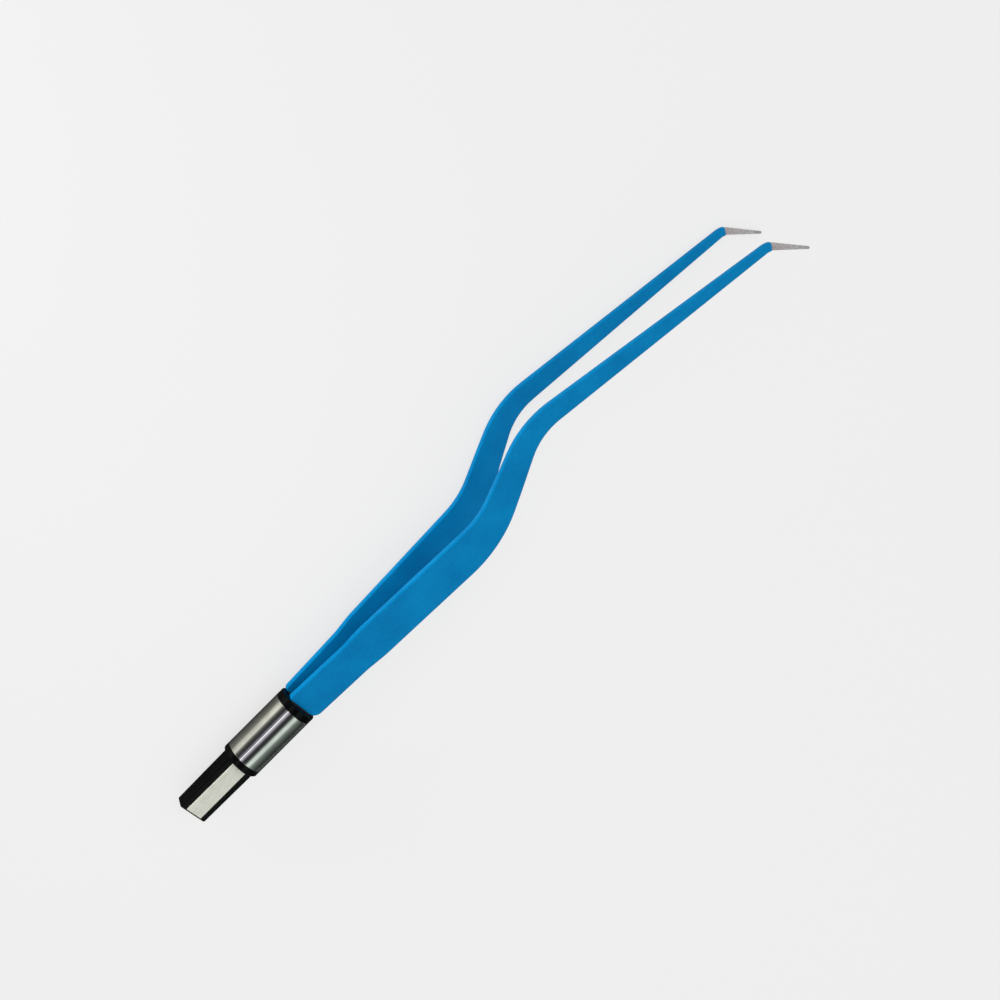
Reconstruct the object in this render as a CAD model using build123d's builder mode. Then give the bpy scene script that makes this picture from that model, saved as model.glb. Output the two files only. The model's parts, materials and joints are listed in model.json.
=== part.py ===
# Bayonet bipolar forceps with two blue-coated spring arms and a flat two-pole plug.
# The pieces are drawn along the tool's axis: X runs from the plug to the tips, Y is the
# bayonet offset and Z is across the two arms. At the end the whole tool is turned by its
# resting angle, so that it lies on the lower arm's shaft and on the edge of the rear collar.
import os
from math import asin, atan2, cos, degrees, hypot, radians, sin, tan

from build123d import *

os.makedirs("parts", exist_ok=True)

# Driving dimensions in millimetres and degrees

plug_length = 16.5
plug_width = 8.0
plug_thickness = 4.1
plug_draft = 0.7
plug_corner = 0.6
plug_edge = 0.4

contact_width = 4.5
contact_thickness = 0.8
contact_height = 2.45
contact_setback = 0.5
contact_edge = 0.15
tail_width = 3.0
tail_thickness = 0.5
tail_height = 1.72

ferrule_length = 16.5
ferrule_diameter = 10.4
ferrule_wall = 0.5
ferrule_edge = 0.15
collar_length = 1.9
rear_collar_chamfer = 0.5
front_collar_edge = 0.3
seat_gap = 0.05
core_length = 5.4
core_edge = 0.2
spigot_length = 2.5

steel_thickness = 1.2
coating_thickness = 0.2
coating_edge = 0.3
coating_edge_limit = 1.5
coating_past_bend = 0.4
coating_stub = 5.0

tang_gap = 0.2
tang_width = 6.0
tang_corner = 0.8
tang_height = 1.71
rivet_setback = 4.0
shoulder_gap = 0.14
shoulder_upper_corner = 0.9
shoulder_lower_corner = 2.0
running_gap = 0.1
slot_gap = 0.12
slot_side_gap = 0.24
rivet_diameter = 2.0
rivet_clearance = 0.15
rivet_end_gap = 0.2

handle_splay = 4.15
splay_length = 74.2
splay_bend_radius = 140.0
tang_bend_radius = 15.0

neck_length = 18.0
neck_above = 4.2
neck_below = 4.55
neck_taper_length = 5.5
neck_taper_radius = 14.0
grip_above = 4.7
grip_below = 4.95
rise_foot_upper_length = 62.6
rise_foot_lower_length = 61.7
rise_foot_upper_radius = 22.0
rise_foot_lower_radius = 35.0
crest_upper_length = 85.4
crest_upper_y = 15.33
crest_upper_radius = 26.0
crest_lower_length = 86.8
crest_lower_y = 10.0
crest_lower_radius = 17.0
shaft_end_length = 155.7
tip_bend_y = 3.62
tip_bend_width = 1.95
tip_bend_upper_radius = 5.0
tip_bend_lower_radius = 2.4
tip_bend_tilt = 62.0
tip_angle = 46.5
tip_length = 11.2
tip_end_width = 0.6
tip_corner = 0.24
tip_end_thickness = 0.7
tip_gap = 0.2

# Places that follow from the sizes

ferrule_start = plug_length + collar_length
ferrule_end = ferrule_start + ferrule_length
collar_front = ferrule_end + collar_length
ferrule_radius = ferrule_diameter / 2
bore_radius = ferrule_radius - ferrule_wall
inner_radius = bore_radius - seat_gap
spigot_start = ferrule_end - spigot_length
core_end = ferrule_start + core_length
tang_start = core_end + tang_gap
pivot_x = tang_start + rivet_setback
arm_thickness = steel_thickness + 2 * coating_thickness
shoulder_x = collar_front + shoulder_gap + coating_thickness
tang_end = shoulder_x + shoulder_lower_corner
neck_end_x = collar_front + neck_length
rise_foot_upper_x = collar_front + rise_foot_upper_length
rise_foot_lower_x = collar_front + rise_foot_lower_length
splay_bend_x = collar_front + splay_length
crest_upper_x = collar_front + crest_upper_length
crest_lower_x = collar_front + crest_lower_length
tip_bend_x = collar_front + shaft_end_length
splay_bend_z = tang_height + (splay_bend_x - pivot_x) * tan(radians(handle_splay))
tang_outer = tang_height + steel_thickness / 2
tang_inner = tang_height - steel_thickness / 2

# The resting angle lays the shaft's outer face and the rear collar's edge on one plane
rest_edge_x = plug_length + rear_collar_chamfer
rest_run = splay_bend_x - rest_edge_x
rest_drop = splay_bend_z - ferrule_radius
rest_turn = atan2(rest_drop, rest_run) + asin(arm_thickness / 2 / hypot(rest_run, rest_drop))
rest_angle = degrees(rest_turn)

# The closing angle brings the inner faces of the two tips together
tip_slope = radians(tip_angle)
tip_x = tip_bend_x + tip_length * cos(tip_slope)
tip_z = splay_bend_z + (tip_x - splay_bend_x) * tan(rest_turn)
tip_relief_x = tip_bend_x + (coating_past_bend + tip_bend_width / 2) * cos(tip_slope)
tip_relief_z = splay_bend_z + (tip_relief_x - splay_bend_x) * tan(rest_turn) + steel_thickness / 2
tip_reach = tip_x - pivot_x
tip_rise = tip_z - steel_thickness / 2 - tang_height
closing = atan2(tip_rise, tip_reach) + asin((tang_height - tip_gap / 2) / hypot(tip_reach, tip_rise))
closing_angle = degrees(closing)

# More than the height and the width of one arm, for cuts that go right through
over_height = 2 * tip_z
over_width = 2 * crest_upper_y


def arm_corners(reach):
    """Corner points and radii of one arm seen from its broad side, without its tang.

    The tip goes on for the given reach past the bend, narrowing towards the real tip's end.
    """
    bend_across = Vector(cos(radians(tip_bend_tilt)), sin(radians(tip_bend_tilt))) * tip_bend_width / 2
    bend_centre = Vector(tip_bend_x, tip_bend_y)
    tip_along = Vector(cos(tip_slope), -sin(tip_slope))
    tip_across = Vector(sin(tip_slope), cos(tip_slope))
    share = reach / tip_length
    half_end = (tip_bend_width * (1 - share) + tip_end_width * share) / 2
    end_centre = bend_centre + tip_along * reach
    neck_taper_end = neck_end_x + neck_taper_length
    upper = [
        ((shoulder_x, neck_above), shoulder_upper_corner),
        ((neck_end_x, neck_above), neck_taper_radius),
        ((neck_taper_end, grip_above), neck_taper_radius),
        ((rise_foot_upper_x, grip_above), rise_foot_upper_radius),
        ((crest_upper_x, crest_upper_y), crest_upper_radius),
        ((bend_centre + bend_across), tip_bend_upper_radius),
        ((end_centre + tip_across * half_end), tip_corner),
    ]
    lower = [
        ((end_centre - tip_across * half_end), tip_corner),
        ((bend_centre - bend_across), tip_bend_lower_radius),
        ((crest_lower_x, crest_lower_y), crest_lower_radius),
        ((rise_foot_lower_x, -grip_below), rise_foot_lower_radius),
        ((neck_taper_end, -grip_below), neck_taper_radius),
        ((neck_end_x, -neck_below), neck_taper_radius),
        ((shoulder_x, -neck_below), shoulder_lower_corner),
    ]
    corners = [point for point, radius in upper + lower]
    radii = [radius for point, radius in upper + lower]
    return corners, radii


def leaf_line():
    """Middle line of the upper arm seen from its narrow edge, running on past both ends."""
    run_past = tip_x + steel_thickness
    past_z = splay_bend_z + (run_past - splay_bend_x) * tan(rest_turn)
    return [
        (tang_start - steel_thickness, tang_height),
        (pivot_x, tang_height),
        (splay_bend_x, splay_bend_z),
        (run_past, past_z),
    ]


# Steel blade of the upper arm, one leaf from the tang to the bare tip

with BuildSketch() as blade_outline:
    with BuildLine():
        blade_corners, blade_radii = arm_corners(tip_length)
        FilletPolyline(*blade_corners, radius=blade_radii, close=True)
    make_face()
    with BuildLine():
        FilletPolyline(
            (tang_start, tang_width / 2),
            (tang_end, tang_width / 2),
            (tang_end, -tang_width / 2),
            (tang_start, -tang_width / 2),
            radius=[tang_corner, 0, 0, tang_corner],
            close=True,
        )
    make_face()

with BuildSketch(Plane.XZ) as blade_side:
    with BuildLine():
        FilletPolyline(*leaf_line(), radius=[tang_bend_radius, splay_bend_radius])
    trace(line_width=steel_thickness)

with BuildPart() as upper_blade:
    extrude(blade_outline.sketch, amount=over_height)
    extrude(blade_side.sketch, amount=over_width, both=True, mode=Mode.INTERSECT)
    # The bare tip gets thinner on its outer side, from the coating's end to its own end
    with BuildSketch(Plane.XZ):
        with BuildLine():
            Polyline(
                (tip_relief_x, tip_relief_z),
                (tip_x, tip_z - steel_thickness / 2 + tip_end_thickness),
                (tip_x + tip_end_width, tip_z - steel_thickness / 2 + tip_end_thickness),
                (tip_x + tip_end_width, tip_z + steel_thickness),
                (tip_relief_x, tip_z + steel_thickness),
                close=True,
            )
        make_face()
    extrude(amount=over_width, both=True, mode=Mode.SUBTRACT)
    with Locations((pivot_x, 0, tang_height)):
        Hole(rivet_diameter / 2 + rivet_clearance)

# Blue coating of the upper arm, a thin skin with broken edges that ends past the tip's bend

with BuildSketch() as coating_outline:
    with BuildLine():
        stub_corners, stub_radii = arm_corners(coating_stub)
        FilletPolyline(*stub_corners, radius=stub_radii, close=True)
    make_face()
    offset(amount=coating_thickness)

with BuildSketch(Plane.XZ) as coating_side:
    with BuildLine():
        FilletPolyline(*leaf_line(), radius=[tang_bend_radius, splay_bend_radius])
    trace(line_width=arm_thickness)

coating_end_x = tip_bend_x + coating_past_bend * cos(tip_slope)
coating_end_y = tip_bend_y - coating_past_bend * sin(tip_slope)
coating_end_turn = radians(tip_bend_tilt)
coating_end = Plane(
    origin=(coating_end_x, coating_end_y, 0),
    z_dir=(sin(coating_end_turn), -cos(coating_end_turn), 0),
)

with BuildPart() as upper_coating:
    extrude(coating_outline.sketch, amount=over_height)
    extrude(coating_side.sketch, amount=over_width, both=True, mode=Mode.INTERSECT)
    # Every edge of the two broad faces is broken, but not the splay bend's own lines
    outer_edges = upper_coating.edges() - upper_coating.edges().filter_by(Axis.Z)
    splay_lines = outer_edges.filter_by(Axis.Y).filter_by_position(Axis.X, neck_end_x, tip_bend_x)
    chamfer(outer_edges - splay_lines, length=min(coating_edge, coating_edge_limit * coating_thickness))
    split(bisect_by=coating_end, keep=Keep.BOTTOM)
    add(upper_blade.part, mode=Mode.SUBTRACT)

with BuildPart() as lower_blade:
    mirror(upper_blade.part, about=Plane.XY)

with BuildPart() as lower_coating:
    mirror(upper_coating.part, about=Plane.XY)

# Flat contact plates, each with a tail that reaches its blade's tang

with BuildPart() as upper_contact:
    plate_floor = contact_height - contact_thickness
    with BuildSketch(Plane.XY.offset(plate_floor)):
        with Locations((contact_setback, 0)):
            Rectangle(plug_length - contact_setback, contact_width, align=(Align.MIN, Align.CENTER))
    extrude(amount=contact_thickness)
    chamfer(upper_contact.faces().sort_by(Axis.Z)[-1].edges(), length=contact_edge)
    with BuildSketch(Plane.XY.offset(tail_height - tail_thickness / 2)):
        with Locations((plug_length / 2, 0)):
            Rectangle(
                core_end - plug_length / 2,
                tail_width,
                align=(Align.MIN, Align.CENTER),
            )
    extrude(amount=tail_thickness)

with BuildPart() as lower_contact:
    mirror(upper_contact.part, about=Plane.XY)

# Moulded plug with a round core inside the ferrule

with BuildPart() as plug_body:
    with BuildSketch(Plane.YZ):
        RectangleRounded(plug_width, plug_thickness, plug_corner)
    extrude(amount=ferrule_start, taper=-plug_draft)
    fillet(plug_body.faces().sort_by(Axis.X)[0].edges(), radius=plug_edge)
    with BuildSketch(Plane.YZ.offset(ferrule_start)):
        Circle(inner_radius)
    extrude(amount=core_length)
    chamfer(plug_body.faces().sort_by(Axis.X)[-1].edges(), length=core_edge)
    add(upper_contact.part, mode=Mode.SUBTRACT)
    add(lower_contact.part, mode=Mode.SUBTRACT)

# Rear collar, a ring pushed over the plug against the ferrule's end

plug_growth = tan(radians(plug_draft)) * ferrule_start

with BuildPart() as rear_collar:
    with BuildSketch(Plane.YZ.offset(plug_length)):
        Circle(ferrule_radius)
        RectangleRounded(
            plug_width + 2 * plug_growth + 2 * seat_gap,
            plug_thickness + 2 * plug_growth + 2 * seat_gap,
            plug_corner + plug_growth,
            mode=Mode.SUBTRACT,
        )
    extrude(amount=collar_length)
    rear_rims = rear_collar.faces().sort_by(Axis.X)[0].edges().filter_by(GeomType.CIRCLE)
    chamfer(rear_rims.sort_by(SortBy.RADIUS)[-1], length=rear_collar_chamfer)

# Polished ferrule

with BuildPart() as ferrule:
    with BuildSketch(Plane.YZ.offset(ferrule_start)):
        Circle(ferrule_radius)
        Circle(bore_radius, mode=Mode.SUBTRACT)
    extrude(amount=ferrule_length)
    rims = ferrule.edges().filter_by(GeomType.CIRCLE).sort_by(SortBy.RADIUS)[-2:]
    chamfer(rims, length=min(ferrule_edge, ferrule_wall / 2))

# Front collar with a spigot in the ferrule and a slot for each arm

slot_inner = tang_inner - slot_gap
slot_outer = tang_outer + (collar_front - pivot_x) * tan(radians(handle_splay)) + slot_gap
slot_width = tang_width + 2 * slot_side_gap

with BuildPart() as front_collar:
    with BuildSketch(Plane.YZ.offset(spigot_start)):
        Circle(inner_radius)
    extrude(amount=spigot_length)
    with BuildSketch(Plane.YZ.offset(ferrule_end)):
        Circle(ferrule_radius)
    extrude(amount=collar_length)
    front_rim = front_collar.faces().sort_by(Axis.X)[-1].edges()
    fillet(front_rim, radius=min(front_collar_edge, collar_length / 2))
    with BuildSketch(Plane.YZ.offset(spigot_start)):
        with Locations((0, (slot_inner + slot_outer) / 2), (0, -(slot_inner + slot_outer) / 2)):
            Rectangle(slot_width, slot_outer - slot_inner)
    extrude(amount=spigot_length + collar_length, mode=Mode.SUBTRACT)

# Insulation between the tangs and around them, held by one rivet

spacer_half = tang_inner - running_gap

with BuildPart() as arm_spacer:
    with BuildSketch(Plane.YZ.offset(core_end)):
        Circle(inner_radius)
        Rectangle(2 * inner_radius, 2 * spacer_half, mode=Mode.INTERSECT)
    extrude(amount=spigot_start - core_end)
    with Locations((pivot_x, 0, 0)):
        Hole(rivet_diameter / 2)

with BuildPart() as upper_liner:
    with BuildSketch(Plane.YZ.offset(core_end)):
        Circle(inner_radius)
    extrude(amount=spigot_start - core_end)
    # The underside leaves room for the tang's tail as the arm closes
    with BuildSketch(Plane.XZ):
        with BuildLine():
            Polyline(
                (core_end, -ferrule_radius),
                (core_end, tang_outer + running_gap + (pivot_x - core_end) * tan(closing)),
                (pivot_x, tang_outer + running_gap),
                (
                    spigot_start,
                    tang_outer + running_gap + (spigot_start - pivot_x) * tan(radians(handle_splay)),
                ),
                (spigot_start, -ferrule_radius),
                close=True,
            )
        make_face()
    extrude(amount=ferrule_diameter, both=True, mode=Mode.SUBTRACT)
    with Locations((pivot_x, 0, 0)):
        Hole(rivet_diameter / 2)

with BuildPart() as lower_liner:
    mirror(upper_liner.part, about=Plane.XY)

with BuildPart() as cross_rivet:
    with BuildSketch(Plane.XY):
        with Locations((pivot_x, 0)):
            Circle(rivet_diameter / 2)
    extrude(amount=bore_radius - rivet_end_gap, both=True)

# Resting place: turned by the resting angle, centred over the ground and lifted onto it

pieces = {
    "upper_blade": upper_blade,
    "lower_blade": lower_blade,
    "upper_coating": upper_coating,
    "lower_coating": lower_coating,
    "ferrule": ferrule,
    "front_collar": front_collar,
    "rear_collar": rear_collar,
    "plug_body": plug_body,
    "upper_contact": upper_contact,
    "lower_contact": lower_contact,
    "arm_spacer": arm_spacer,
    "upper_liner": upper_liner,
    "lower_liner": lower_liner,
    "cross_rivet": cross_rivet,
}
turn = Location((0, 0, 0), (0, -rest_angle, 0))
turned = Compound([piece.part.moved(turn) for piece in pieces.values()])
bounds = turned.bounding_box()
resting = Location((-bounds.center().X, -bounds.center().Y, -bounds.min.Z)) * turn

for name, piece in pieces.items():
    piece.part.move(resting)
    piece.part.label = name
    export_step(piece.part, f"parts/{name}.step")


def at_rest(x, y, z):
    """A point of the tool's own axes as it lies at rest."""
    return (resting * Location((x, y, z))).position


print("Size", bounds.size)
print("Resting angle", rest_angle, "Closing angle", closing_angle)
print("Upper pivot", at_rest(pivot_x, 0, tang_height))
print("Lower pivot", at_rest(pivot_x, 0, -tang_height))
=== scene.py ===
# Bipolar forceps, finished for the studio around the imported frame
import json
from math import pi, radians

import bmesh
import bpy
from mathutils import Matrix, Vector


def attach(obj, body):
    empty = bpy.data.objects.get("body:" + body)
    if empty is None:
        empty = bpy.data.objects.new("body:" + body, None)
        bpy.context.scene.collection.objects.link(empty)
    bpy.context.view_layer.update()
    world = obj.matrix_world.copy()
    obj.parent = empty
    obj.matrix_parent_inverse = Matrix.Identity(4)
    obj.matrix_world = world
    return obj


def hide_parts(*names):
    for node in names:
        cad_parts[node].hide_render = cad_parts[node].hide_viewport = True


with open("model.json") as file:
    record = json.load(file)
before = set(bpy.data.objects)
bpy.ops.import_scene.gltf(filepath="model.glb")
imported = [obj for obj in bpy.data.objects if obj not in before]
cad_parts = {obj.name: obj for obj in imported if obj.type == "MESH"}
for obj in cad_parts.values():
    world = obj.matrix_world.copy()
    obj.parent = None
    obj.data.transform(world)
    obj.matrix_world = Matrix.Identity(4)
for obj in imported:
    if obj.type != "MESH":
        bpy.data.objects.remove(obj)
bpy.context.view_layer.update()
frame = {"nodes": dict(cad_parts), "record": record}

mm = 0.001
scene = bpy.context.scene


# The tool's own axes, read from the plug's mount: X to the tips, Y to the bayonet's side, Z across the arms

plugMount = next(mount for mount in frame["record"]["mounts"] if mount["name"] == "cable_plug")
plugEnd = Vector(plugMount["pos_m"])
toolX = -Vector(plugMount["axis"]).normalized()
toolY = Vector((0, 1, 0))
toolAxes = Matrix((toolX, toolY, toolX.cross(toolY))).transposed()
toolPlace = Matrix.Translation(plugEnd) @ toolAxes.to_4x4() @ Matrix.Scale(mm, 4)  # millimetres of the tool


def colour(red, green, blue):  # written as on screen, 0 to 255, and made linear by the screen's own curve
    levels = [level / 255 for level in (red, green, blue)]
    return [level / 12.92 if level <= 0.04045 else ((level + 0.055) / 1.055) ** 2.4 for level in levels]


def centred(value, reach):  # what runs from -reach to reach, as 0 to 1
    return value * (0.5 / reach) + 0.5


# Shader maths: a wrapped socket takes operators, and every other node comes from its node method

class Value:
    def __init__(self, tree, socket=None):
        self.tree = tree
        self.socket = socket

    def node(self, kind, settings=None, output=0, **inputs):  # an input is named, or numbered as in _2
        made = self.tree.nodes.new(kind)
        settings = dict(settings or {})
        stops = settings.pop("stops", None)
        for name, setting in settings.items():
            setattr(made, name, setting)
        if stops:
            ramp = made.color_ramp
            while len(ramp.elements) < len(stops):
                ramp.elements.new(1)
            for element, (place, shade) in zip(ramp.elements, stops):
                element.position = place
                element.color = (*shade, 1)
        sockets = {socket.name.replace(" ", ""): socket for socket in made.inputs if socket.enabled}
        for name, value in inputs.items():
            socket = made.inputs[int(name[1:])] if name[0] == "_" else sockets[name]
            if isinstance(value, Value):
                self.tree.links.new(value.socket, socket)
            else:
                socket.default_value = (*value, 1) if socket.type == "RGBA" else value
        return Value(self.tree, made.outputs[output])

    def maths(self, operation, first, second=0.0):
        return self.node("ShaderNodeMath", {"operation": operation}, _0=first, _1=second)

    def __add__(self, other):
        return self.maths("ADD", self, other)

    def __radd__(self, other):
        return self.maths("ADD", other, self)

    def __sub__(self, other):
        return self.maths("SUBTRACT", self, other)

    def __rsub__(self, other):
        return self.maths("SUBTRACT", other, self)

    def __mul__(self, other):
        return self.maths("MULTIPLY", self, other)

    def __rmul__(self, other):
        return self.maths("MULTIPLY", other, self)

    def rise(self, low, high):  # 0 below low, 1 above high, smooth between
        return self.node("ShaderNodeMapRange", {"interpolation_type": "SMOOTHSTEP"},
                         Value=self, FromMin=low, FromMax=high)

    def tint(self, first, second):  # first colour at 0, second at 1
        return self.node("ShaderNodeMix", {"data_type": "RGBA"}, 2, _0=self, _6=first, _7=second)

    def ramp(self, *stops):
        return self.node("ShaderNodeValToRGB", {"stops": stops}, Fac=self)


class Finish:  # one material, its shader and its place in the tool's millimetres
    def __init__(self, name, fixed):
        self.material = bpy.data.materials.new(name)
        self.material.use_nodes = True
        tree = self.material.node_tree
        self.shader = tree.nodes["Principled BSDF"]
        for socket, value in fixed.items():
            self.shader.inputs[socket].default_value = value
        objectPlace = Value(tree).node("ShaderNodeTexCoord", output="Object")
        self.place = objectPlace.node("ShaderNodeMapping", {"vector_type": "TEXTURE"}, Vector=objectPlace,
                                      Location=plugEnd, Rotation=toolAxes.to_euler(), Scale=(mm, mm, mm))

    def axis(self, name):
        return self.place.node("ShaderNodeSeparateXYZ", output=name, Vector=self.place)

    def grain(self, size, detail, stretch=(1, 1, 1)):  # size in mm, stretched along X, Y and Z
        stretched = self.place.node("ShaderNodeMapping", Vector=self.place,
                                    Scale=[1 / (size * share) for share in stretch])
        return stretched.node("ShaderNodeTexNoise", Vector=stretched, Scale=1.0, Detail=detail)

    def feed(self, name, value):
        value.tree.links.new(value.socket, self.shader.inputs[name])

    def roughen(self, level, *swings):  # each pattern moves the level up and down by its share
        for pattern, share in swings:
            level = level + (pattern - 0.5) * share
        self.feed("Roughness", level)

    def bump(self, height, depth):  # depth in mm
        self.feed("Normal", height.node("ShaderNodeBump", Height=height, Distance=depth * mm))


# Materials: sizes, fades and depths in mm; a name that ends in Rough is a pattern's share in the roughness

def blueCoat():
    look = {
        "tones": [  # level of the mottle, and colour
            (0.34, colour(0, 115, 174)),
            (0.5, colour(0, 124, 183)),
            (0.68, colour(3, 132, 191)),
        ],
        "cloud": {"size": 9, "detail": 3},
        "cloudShare": 0.65,  # of the mottle, and speck has the rest
        "cloudRough": 0.2,
        "speck": {"size": 0.7, "detail": 2},
        "speckRough": 0.1,
        "peel": {"size": 0.55, "detail": 2},
        "speckInPeel": 0.5,
        "peelDepth": 0.006,
        "roughness": 0.4,
        "shine": 0.05,
    }
    finish = Finish("blueCoat", {"Specular IOR Level": look["shine"]})
    cloud = finish.grain(**look["cloud"])
    speck = finish.grain(**look["speck"])
    mottle = cloud * look["cloudShare"] + speck * (1 - look["cloudShare"])
    finish.feed("Base Color", mottle.ramp(*look["tones"]))
    finish.roughen(look["roughness"], (cloud, look["cloudRough"]), (speck, look["speckRough"]))
    finish.bump(finish.grain(**look["peel"]) + speck * look["speckInPeel"], look["peelDepth"])
    return finish.material


def bladeSteel():
    look = {
        "steel": colour(220, 213, 215),
        "warm": colour(212, 197, 196),  # just past the coat
        "dark": colour(126, 118, 120),  # worn and marked
        # painted shade: the steel under the coat and in the collar is dark grey
        "tang": colour(60, 60, 62),  # under the coat and in the collar
        "bareX": 193.0,  # mm along the tool, where the coat ends
        "bareFade": 1.0,  # mm
        "heatFade": 3.0,
        "heatShare": 0.7,
        "tipX": 199.9,
        "wornFade": 2.0,
        "wornShare": 0.3,
        "grind": {"size": 0.22, "detail": 3, "stretch": (3, 1, 1)},
        "grindLevels": (0.45, 0.75),  # where its marks start and are full
        "grindShare": 0.2,
        "grindRough": 0.3,
        "grindDepth": 0.006,
        "blotch": {"size": 0.36, "detail": 3},
        "blotchLevels": (0.36, 0.7),
        "blotchShare": 0.42,
        "cloud": {"size": 1.6, "detail": 2},
        "cloudRough": 0.12,
        "roughness": 0.46,
        "metal": 0.55,
    }
    finish = Finish("bladeSteel", {"Metallic": look["metal"]})
    alongX = finish.axis("X")
    grind = finish.grain(**look["grind"])
    blotch = finish.grain(**look["blotch"])
    cloud = finish.grain(**look["cloud"])
    bare = alongX.rise(look["bareX"] - look["bareFade"], look["bareX"])
    heat = bare * (1 - alongX.rise(look["bareX"], look["bareX"] + look["heatFade"]))
    used = alongX.rise(look["tipX"] - look["wornFade"], look["tipX"])
    # before the coat's end the steel takes the painted shade colour
    steel = bare.tint(look["tang"], look["steel"])
    warmed = (heat * look["heatShare"]).tint(steel, look["warm"])
    worn = (used * look["wornShare"]).tint(warmed, look["dark"])
    grindMarks = grind.rise(*look["grindLevels"]) * look["grindShare"]
    blotchMarks = blotch.rise(*look["blotchLevels"]) * look["blotchShare"]
    finish.feed("Base Color", (grindMarks + blotchMarks).tint(worn, look["dark"]))
    finish.roughen(look["roughness"], (grind, look["grindRough"]), (cloud, look["cloudRough"]))
    finish.bump(grind, look["grindDepth"])
    return finish.material


def polishedSteel():
    look = {
        "steel": colour(232, 232, 228),
        "shade": colour(214, 216, 212),
        "rings": {"size": 0.25, "detail": 3, "stretch": (1, 60, 60)},  # fine marks round the sleeve
        "ringsRough": 0.06,
        "ringsDepth": 0.0006,
        "cloud": {"size": 3, "detail": 3},
        "cloudLevels": (0.35, 0.7),
        "cloudRough": 0.04,
        "roughness": 0.06,
        "metal": 1.0,
    }
    finish = Finish("polishedSteel", {"Metallic": look["metal"]})
    rings = finish.grain(**look["rings"])
    cloud = finish.grain(**look["cloud"])
    finish.feed("Base Color", cloud.rise(*look["cloudLevels"]).tint(look["steel"], look["shade"]))
    finish.roughen(look["roughness"], (rings, look["ringsRough"]), (cloud, look["cloudRough"]))
    finish.bump(rings, look["ringsDepth"])
    return finish.material


def blackMoulding():
    look = {
        "base": colour(2, 2, 3),
        "pale": colour(10, 10, 12),
        "cloud": {"size": 2, "detail": 3},
        "cloudRough": 0.16,
        "rub": {"size": 0.3, "detail": 3, "stretch": (5, 1, 1)},
        "rubRough": 0.14,
        "skin": {"size": 0.5, "detail": 2},
        "rubInSkin": 0.3,
        "skinDepth": 0.003,
        "roughness": 0.2,
        "shine": 0.12,
    }
    finish = Finish("blackMoulding", {"Specular IOR Level": look["shine"]})
    cloud = finish.grain(**look["cloud"])
    rub = finish.grain(**look["rub"])
    finish.feed("Base Color", cloud.tint(look["base"], look["pale"]))
    finish.roughen(look["roughness"], (cloud, look["cloudRough"]), (rub, look["rubRough"]))
    finish.bump(finish.grain(**look["skin"]) + rub * look["rubInSkin"], look["skinDepth"])
    return finish.material


def contactPlate():
    look = {
        "base": colour(226, 226, 215),
        "rubbed": colour(206, 205, 192),
        "rubbedLevels": (0.42, 0.72),
        "rub": {"size": 0.25, "detail": 3, "stretch": (10, 1, 1)},  # drawn along by the socket's springs
        "rubShare": 0.6,
        "rubRough": 0.25,
        "rubDepth": 0.002,
        "cloud": {"size": 2.5, "detail": 3},
        "cloudShare": 0.4,
        "roughness": 0.42,
        "metal": 0.2,
    }
    finish = Finish("contactPlate", {"Metallic": look["metal"]})
    rub = finish.grain(**look["rub"])
    cloud = finish.grain(**look["cloud"])
    marks = (rub * look["rubShare"] + cloud * look["cloudShare"]).rise(*look["rubbedLevels"])
    finish.feed("Base Color", marks.tint(look["base"], look["rubbed"]))
    finish.roughen(look["roughness"], (rub, look["rubRough"]))
    finish.bump(rub, look["rubDepth"])
    return finish.material


def insulation():
    look = {
        "base": colour(206, 198, 178),
        "shade": colour(184, 174, 152),
        "cloud": {"size": 1.2, "detail": 3},
        "cloudRough": 0.2,
        "skin": {"size": 0.25, "detail": 2},
        "skinDepth": 0.004,
        "roughness": 0.6,
    }
    finish = Finish("insulation", {})
    cloud = finish.grain(**look["cloud"])
    finish.feed("Base Color", cloud.tint(look["base"], look["shade"]))
    finish.roughen(look["roughness"], (cloud, look["cloudRough"]))
    finish.bump(finish.grain(**look["skin"]), look["skinDepth"])
    return finish.material


finishes = {
    "blue_coat": blueCoat(),
    "blade_steel": bladeSteel(),
    "polished_steel": polishedSteel(),
    "black_moulding": blackMoulding(),
    "contact_plate": contactPlate(),
    "insulation": insulation(),
}
slotOf = {row["node"]: row["material_slot"] for row in frame["record"]["subparts"]}
bodyOf = {node: body for body, nodes in frame["record"]["behaviour"]["bodies"].items() for node in nodes}
for nodeName, node in frame["nodes"].items():
    node.data.materials.clear()
    node.data.materials.append(finishes[slotOf[nodeName]])
print("materials done")


# Finished pieces: each stands for the CAD node that it is made over

def standFor(obj, nodeName):
    obj.data.materials.clear()
    obj.data.materials.append(finishes[slotOf[nodeName]])
    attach(obj, bodyOf[nodeName])
    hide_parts(nodeName)


def newObject(name, content):
    obj = bpy.data.objects.new(name, content)
    scene.collection.objects.link(obj)
    return obj


def applied(obj):  # the object's modifiers, made into a plain mesh
    evaluated = obj.evaluated_get(bpy.context.evaluated_depsgraph_get())
    mesh = bpy.data.meshes.new_from_object(evaluated)
    obj.modifiers.clear()
    obj.data = mesh


meshCare = {
    "merge": 0.002,  # mm between points that are one
    "flat": 0.5,  # degrees up to which two faces are one
    "edgeFrom": 25,  # degrees from which an edge is rounded
}
roundings = {  # edge radius in mm and its steps
    "upper_coating": (0.16, 3),
    "lower_coating": (0.16, 3),
    "upper_blade": (0.08, 2),
    "lower_blade": (0.08, 2),
    "front_collar": (0.08, 2),
    "rear_collar": (0.1, 2),
    "plug_body": (0.06, 2),
    "upper_contact": (0.06, 2),
    "lower_contact": (0.06, 2),
}


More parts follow.
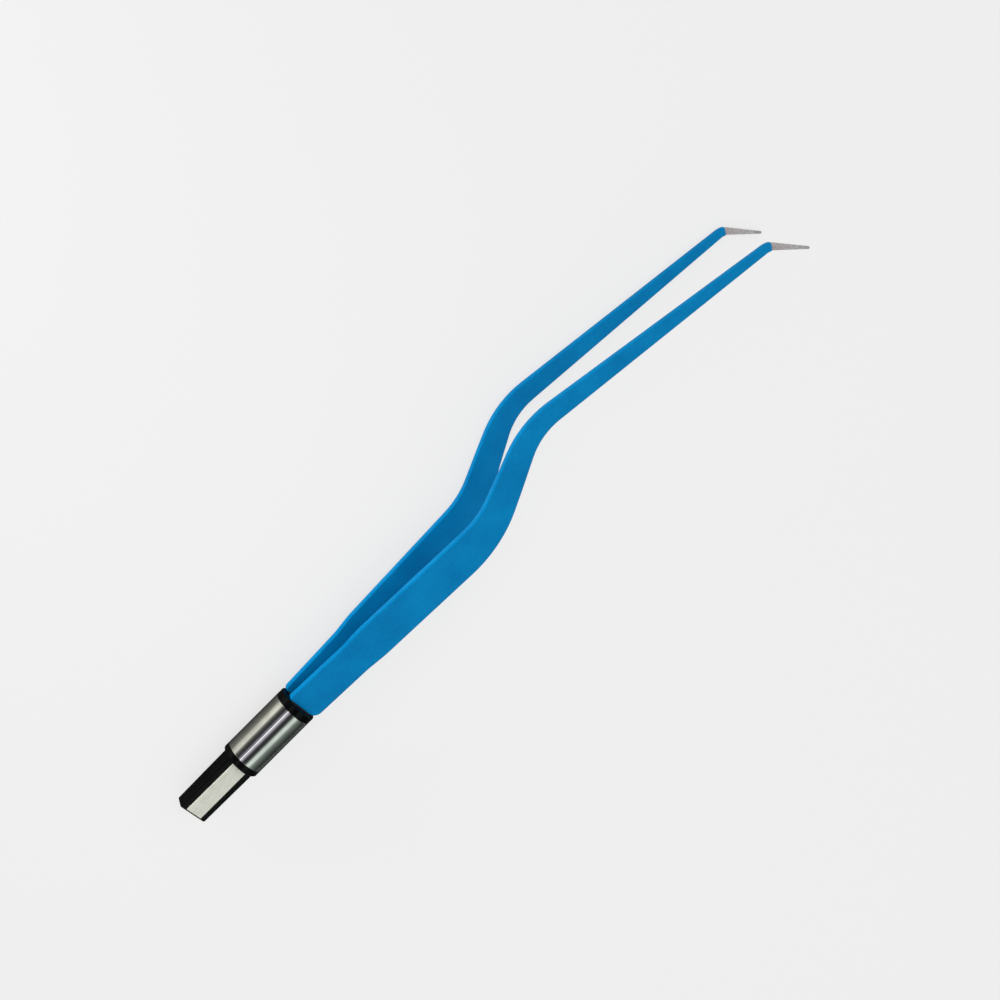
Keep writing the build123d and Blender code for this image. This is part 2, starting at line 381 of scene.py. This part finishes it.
def roundedPiece(nodeName, edge, steps):
    obj = newObject(nodeName + "_finished", frame["nodes"][nodeName].data.copy())
    work = bmesh.new()
    work.from_mesh(obj.data)
    bmesh.ops.remove_doubles(work, verts=work.verts, dist=meshCare["merge"] * mm)
    bmesh.ops.dissolve_limit(work, angle_limit=radians(meshCare["flat"]), verts=work.verts, edges=work.edges)
    work.to_mesh(obj.data)
    work.free()
    obj.data.shade_smooth()
    bevel = obj.modifiers.new("edge", "BEVEL")
    bevel.width = edge * mm
    bevel.segments = steps
    bevel.limit_method = "ANGLE"
    bevel.angle_limit = radians(meshCare["edgeFrom"])
    obj.modifiers.new("even", "WEIGHTED_NORMAL").keep_sharp = True
    applied(obj)
    standFor(obj, nodeName)


for nodeName, (edge, steps) in roundings.items():
    roundedPiece(nodeName, edge, steps)
print("rounded pieces done")


# Ferrule: a section with rolled rims, swept round the tool's axis

ferruleLook = {
    "wall": 0.5,  # mm
    "rim": 0.16,
    "rimSteps": 4,
    "around": 144,
}


def turnedSleeve():
    tree = bpy.data.node_groups.new("turnedSleeve", "GeometryNodeTree")
    tree.interface.new_socket("Geometry", in_out="OUTPUT", socket_type="NodeSocketGeometry")
    inputs = {
        "Length": "Float",
        "Radius": "Float",
        "Wall": "Float",
        "Rim": "Float",
        "Rim Steps": "Int",
        "Around": "Int",
        "Material": "Material",
    }
    for name, kind in inputs.items():
        tree.interface.new_socket(name, in_out="INPUT", socket_type="NodeSocket" + kind)
    given = tree.nodes.new("NodeGroupInput").outputs
    size = {socket.name: Value(tree, socket) for socket in given if socket.name}
    middle = size["Radius"] - size["Wall"] * 0.5
    circle = middle.node("GeometryNodeCurvePrimitiveCircle", Resolution=size["Around"], Radius=middle)
    section = middle.node("GeometryNodeCurvePrimitiveQuadrilateral",
                          Width=size["Wall"], Height=size["Length"])
    rolled = section.node("GeometryNodeFilletCurve", {"mode": "POLY"},
                          Curve=section, Count=size["Rim Steps"], Radius=size["Rim"])
    swept = circle.node("GeometryNodeCurveToMesh", Curve=circle, ProfileCurve=rolled)
    smooth = swept.node("GeometryNodeSetShadeSmooth", Geometry=swept)
    real = smooth.node("GeometryNodeRealizeInstances", Geometry=smooth)
    done = real.node("GeometryNodeSetMaterial", Geometry=real, Material=size["Material"])
    tree.links.new(done.socket, tree.nodes.new("NodeGroupOutput").inputs[0])
    return tree


def fitTree(obj, tree, **sizes):  # the tree's result, made into a plain mesh
    modifier = obj.modifiers.new(tree.name, "NODES")
    modifier.node_group = tree
    for item in tree.interface.items_tree:
        if item.in_out == "INPUT":
            modifier[item.identifier] = sizes[item.name.replace(" ", "")]
    applied(obj)


# the CAD ferrule's length and radius, read in the tool's own axes
ferrulePoints = [toolPlace.inverted() @ vertex.co for vertex in frame["nodes"]["ferrule"].data.vertices]
ferruleStart = min(point.x for point in ferrulePoints)
ferruleEnd = max(point.x for point in ferrulePoints)
ferruleRadius = max(point.z for point in ferrulePoints)
ferrule = newObject("ferrule_turned", bpy.data.meshes.new("ferrule_turned"))
fitTree(ferrule, turnedSleeve(), Length=ferruleEnd - ferruleStart, Radius=ferruleRadius,
        Wall=ferruleLook["wall"], Rim=ferruleLook["rim"], RimSteps=ferruleLook["rimSteps"],
        Around=ferruleLook["around"], Material=finishes["polished_steel"])
alongTool = Matrix.Translation(((ferruleStart + ferruleEnd) / 2, 0, 0)) @ Matrix.Rotation(pi / 2, 4, "Y")
ferrule.data.transform(toolPlace @ alongTool)
standFor(ferrule, "ferrule")
print("ferrule done")


# Floor: it keeps the object's shadow, and shows the photograph's pale ground to the camera

matt = {"Roughness": 1.0, "Specular IOR Level": 0.0}
floorLook = {
    "size": 30.0,  # m
    "ground": colour(241, 241, 241),
    "shadow": 0.2,  # share of the real shadow that is seen
}
bpy.ops.mesh.primitive_plane_add(size=floorLook["size"])
floor = bpy.context.object
floor.name = "floor"
floorFinish = Finish("floorPaper", {"Base Color": (*floorLook["ground"], 1), **matt})
paper = Value(floorFinish.material.node_tree, floorFinish.shader.outputs[0])
toCamera = paper.node("ShaderNodeLightPath", output="Is Camera Ray")
glow = paper.node("ShaderNodeEmission", Color=floorLook["ground"], Strength=1.0)
mixed = paper.node("ShaderNodeMixShader", _0=toCamera * (1 - floorLook["shadow"]), _1=paper, _2=glow)
mixed.tree.links.new(mixed.socket, mixed.tree.nodes["Material Output"].inputs["Surface"])
floor.data.materials.append(floorFinish.material)


# World: an even sky to light by, strips along the tool for what shines, the pale ground for the camera

skyLook = {
    "levels": (0.4, 1.08),  # at the horizon and straight up
    "strips": [  # turn about the tool's axis from straight up towards the bayonet's side, and colour
        (-180, colour(70, 74, 72)),
        (-96, colour(60, 64, 62)),
        (-84, colour(44, 48, 46)),
        (-66, colour(72, 78, 74)),
        (-46, colour(112, 120, 115)),
        (-36, colour(146, 156, 150)),
        (-27, colour(222, 232, 225)),
        (-14, colour(222, 232, 225)),
        (-8, colour(154, 160, 156)),
        (-3, colour(88, 90, 90)),
        (3, colour(54, 54, 56)),
        (13, colour(52, 52, 56)),
        (19, colour(108, 106, 116)),
        (25, colour(180, 176, 188)),
        (32, colour(206, 204, 214)),
        (33, [1.6, 1.6, 1.65]),  # a bright line, past what a screen's white gives
        (35, [1.6, 1.6, 1.65]),
        (36, colour(200, 198, 210)),
        (41, colour(124, 124, 134)),
        (45, colour(140, 140, 148)),
        (50, colour(56, 56, 60)),
        (62, colour(66, 66, 68)),
        (68, colour(84, 84, 84)),
        (73, colour(120, 118, 114)),
        (78, colour(172, 170, 162)),
        (85, colour(240, 238, 228)),
    ],
}
world = bpy.data.worlds.new("studio")
scene.world = world
world.use_nodes = True
start = Value(world.node_tree)
towards = start.node("ShaderNodeTexCoord")  # a world's first output is the direction
inTool = towards.node("ShaderNodeMapping", {"vector_type": "TEXTURE"}, Vector=towards,
                      Rotation=toolAxes.to_euler())
acrossY = inTool.node("ShaderNodeSeparateXYZ", output="Y", Vector=inTool)
acrossZ = inTool.node("ShaderNodeSeparateXYZ", output="Z", Vector=inTool)
turnShare = centred(inTool.maths("ARCTAN2", acrossY, acrossZ), pi)
strips = turnShare.ramp(*[(centred(turn, 180), shade) for turn, shade in skyLook["strips"]])
upward = start.node("ShaderNodeSeparateXYZ", output="Z", Vector=towards)
evenSky = upward.tint(*[[level] * 3 for level in skyLook["levels"]])
lightOrShine = start.node("ShaderNodeLightPath", output="Is Glossy Ray").tint(evenSky, strips)
shown = start.node("ShaderNodeLightPath", output="Is Camera Ray").tint(lightOrShine, floorLook["ground"])
shown.tree.links.new(shown.socket, world.node_tree.nodes["Background"].inputs["Color"])


# Soft light beside the handle, for its edge: what shines doesn't show it

handleLight = {
    "turn": 82,  # degrees about the tool's axis, from straight up towards the bayonet's side
    "along": 50,  # mm along the tool
    "distance": 350,  # mm from its axis
    "width": 80,
    "length": 160,
    "spread": 60,  # degrees
    "watts": 0.1,
    "tint": (1.0, 0.99, 0.96),
}


def softBox(name, look):
    outward = toolAxes @ (Matrix.Rotation(radians(-look["turn"]), 3, "X") @ Vector((0, 0, 1)))
    lamp = bpy.data.lights.new(name, "AREA")
    lamp.shape = "RECTANGLE"
    lamp.size = look["length"] * mm
    lamp.size_y = look["width"] * mm
    lamp.spread = radians(look["spread"])
    lamp.energy = look["watts"]
    lamp.color = look["tint"]
    obj = newObject(name, lamp)
    obj.visible_glossy = False
    turned = Matrix((toolX, outward.cross(toolX), outward)).transposed()
    middle = toolPlace @ Vector((look["along"], 0, 0)) + outward * look["distance"] * mm
    obj.matrix_world = Matrix.Translation(middle) @ turned.to_4x4()


softBox("handleLight", handleLight)


# A graded card under the connector, which only shining surfaces show: pale outside, and dark beside the tool
# with painted shade, for the floor's shade that the metal reflects

cardLook = {
    "fromX": -600,  # mm along the tool
    "toX": 62,
    "reach": 2000,  # mm to each side
    "lift": 0.05,  # mm over the floor
    "shades": [  # mm across the tool, towards the bayonet's side, and colour
        # the darker colours near the tool are painted shade
        (-22, colour(80, 84, 82)),
        (-9, colour(66, 70, 68)),
        (0, colour(50, 54, 52)),
        (9, colour(58, 62, 60)),
        (13, colour(104, 106, 102)),
        (17, colour(142, 142, 136)),
        (22, colour(172, 170, 162)),
        (34, colour(222, 220, 210)),
        (2000, colour(240, 239, 232)),
    ],
}
reach = cardLook["reach"]
cardFinish = Finish("paintedShadeCard", matt)
cardShades = [(centred(across, reach), shade) for across, shade in cardLook["shades"]]
cardFinish.feed("Base Color", centred(cardFinish.axis("Y"), reach).ramp(*cardShades))
cardCorners = []
for end, side in (("fromX", -1), ("toX", -1), ("toX", 1), ("fromX", 1)):
    corner = toolPlace @ Vector((cardLook[end], side * reach, 0))
    cardCorners.append((corner.x, corner.y, cardLook["lift"] * mm))
cardMesh = bpy.data.meshes.new("paintedShadeCard")
cardMesh.from_pydata(cardCorners, [], [(0, 1, 2, 3)])
cardMesh.materials.append(cardFinish.material)
card = newObject("paintedShadeCard", cardMesh)
card.visible_camera = False
card.visible_diffuse = False
card.visible_shadow = False
print("studio done")


# Camera: it leans from the arms' broad side, and is rolled so that the tips point up to the right

view = {
    "lean": 30.0,  # degrees
    "roll": 45.0,
    "distance": 303.9,  # mm
    "aim": (106.16, 0.24, 0),
    "lens": 45.14,
    "nearest": 10,
}
back = Matrix.Rotation(radians(-view["lean"]), 3, "X") @ Vector((0, 0, 1))
right = Matrix.Rotation(radians(-view["roll"]), 3, back) @ Vector((1, 0, 0))
cameraAxes = toolAxes @ Matrix((right, back.cross(right), back)).transposed()
camera = newObject("camera", bpy.data.cameras.new("camera"))
camera.data.lens = view["lens"]
camera.data.clip_start = view["nearest"] * mm
place = toolPlace @ (Vector(view["aim"]) + back * view["distance"])
camera.matrix_world = Matrix.Translation(place) @ cameraAxes.to_4x4()
scene.camera = camera
scene.view_settings.view_transform = "Standard"
